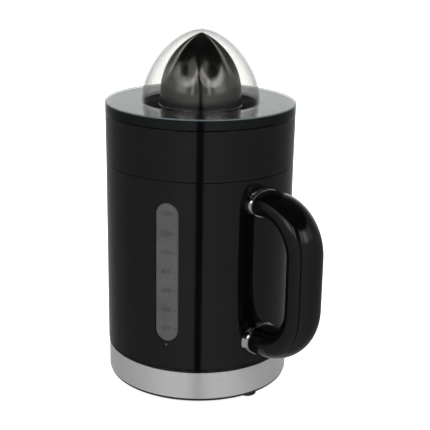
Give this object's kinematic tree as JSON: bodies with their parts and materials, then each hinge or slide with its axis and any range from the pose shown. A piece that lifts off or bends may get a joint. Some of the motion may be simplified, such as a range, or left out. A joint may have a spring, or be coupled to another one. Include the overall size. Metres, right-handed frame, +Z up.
{
  "type": "citrus press juicer",
  "caption": "Electric citrus press: motor base, lift-off jug with handle and level window, juice collector, strainer, ribbed reaming cone and clear domed lid.",
  "frame": {"origin": "middle of the bounding box in X and Y, on the plane of the feet", "axes": "+Z up along the body, +X from the body towards the handle, +Y to the left of the handle"},
  "size_m": [0.2098, 0.1528, 0.2895],
  "materials": {
    "gloss_black": "glossy moulded black plastic",
    "satin_black": "satin black plastic",
    "band_steel": "steel brushed round the body",
    "cone_steel": "polished stainless steel",
    "ring_chrome": "bright chrome",
    "lid_clear": "clear moulded plastic",
    "window_smoke": "translucent grey plastic",
    "rubber": "soft black rubber",
    "zinc": "zinc-plated steel",
    "laminations": "stacked electrical steel",
    "copper": "enamelled copper wire",
    "bronze": "sintered bronze",
    "nylon": "natural nylon",
    "switch_red": "red moulded plastic"
  },
  "bodies": {
    "base": {"base_housing": "gloss_black", "base_band": "band_steel", "bottom_cover": "satin_black", "foot_1": "rubber", "foot_2": "rubber", "foot_3": "rubber", "cover_screw_1": "zinc", "cover_screw_2": "zinc", "cover_screw_3": "zinc", "cover_screw_4": "zinc", "cord_gland": "rubber", "motor_plate": "zinc", "plate_screw_1": "zinc", "plate_screw_2": "zinc", "plate_screw_3": "zinc", "motor_bolt_1": "zinc", "motor_bolt_2": "zinc", "stator_core": "laminations", "lower_winding": "copper", "upper_winding": "copper", "lower_bearing": "bronze", "upper_bearing": "bronze", "gearbox_plate": "zinc", "gearbox_cap": "zinc", "cap_screw_1": "zinc", "cap_screw_2": "zinc", "idler_axle": "zinc", "microswitch": "switch_red"},
    "rotor": {"rotor_core": "laminations", "motor_shaft": "zinc"},
    "idler": {"idler_gear": "nylon"},
    "output": {"output_gear": "nylon", "return_spring": "zinc"},
    "coupling": {"drive_coupling": "nylon"},
    "plunger": {"switch_plunger": "nylon"},
    "jug": {"jug_body": "gloss_black", "level_window": "window_smoke", "handle": "gloss_black", "lower_handle_ring": "ring_chrome", "upper_handle_ring": "ring_chrome", "lower_handle_screw": "zinc", "upper_handle_screw": "zinc", "lower_handle_seal": "rubber", "upper_handle_seal": "rubber"},
    "collector": {"collector": "gloss_black"},
    "strainer": {"strainer": "satin_black"},
    "thrust_bush": {"thrust_bush": "nylon"},
    "cone": {"cone_shell": "cone_steel", "cone_hub": "satin_black", "drive_shaft": "zinc"},
    "lid": {"lid": "lid_clear"}
  },
  "joints": [
    {"name": "cone_spin", "type": "hinge", "parent": "thrust_bush", "child": "cone", "pos_m": [-0.0285, 0, 0], "axis": [0, 0, 1], "continuous": true},
    {"name": "cone_press", "type": "slide", "parent": "strainer", "child": "thrust_bush", "axis": [0, 0, -1], "range_m": [0, 0.0025], "stiffness_N_per_m": 1500, "springref_m": -0.003},
    {"name": "output_spin", "type": "hinge", "parent": "base", "child": "output", "pos_m": [-0.0285, 0, 0], "axis": [0, 0, 1], "continuous": true},
    {"name": "idler_spin", "type": "hinge", "parent": "base", "child": "idler", "pos_m": [-0.042, 0, 0], "axis": [0, 0, 1], "continuous": true},
    {"name": "rotor_spin", "type": "hinge", "parent": "base", "child": "rotor", "pos_m": [-0.0285, 0, 0], "axis": [0, 0, 1], "continuous": true},
    {"name": "coupling_slide", "type": "slide", "parent": "output", "child": "coupling", "axis": [0, 0, -1], "range_m": [0, 0.0025], "deforming": ["return_spring"]},
    {"name": "plunger_slide", "type": "slide", "parent": "base", "child": "plunger", "axis": [0, 0, -1], "range_m": [0, 0.0025]},
    {"name": "jug_lift", "type": "slide", "parent": "base", "child": "jug", "axis": [0, 0, 1], "range_m": [0, 0.15]},
    {"name": "collector_lift", "type": "slide", "parent": "jug", "child": "collector", "axis": [0, 0, 1], "range_m": [0, 0.09]},
    {"name": "strainer_lift", "type": "slide", "parent": "collector", "child": "strainer", "axis": [0, 0, 1], "range_m": [0, 0.06]},
    {"name": "lid_lift", "type": "slide", "parent": "strainer", "child": "lid", "axis": [0, 0, 1], "range_m": [0, 0.08]}
  ],
  "couplings": [
    {"joint": "output_spin", "follows": "cone_spin", "ratio": 1},
    {"joint": "idler_spin", "follows": "cone_spin", "ratio": -2.3333},
    {"joint": "rotor_spin", "follows": "cone_spin", "ratio": 7},
    {"joint": "coupling_slide", "follows": "cone_press", "ratio": 1},
    {"joint": "plunger_slide", "follows": "cone_press", "ratio": 1}
  ]
}
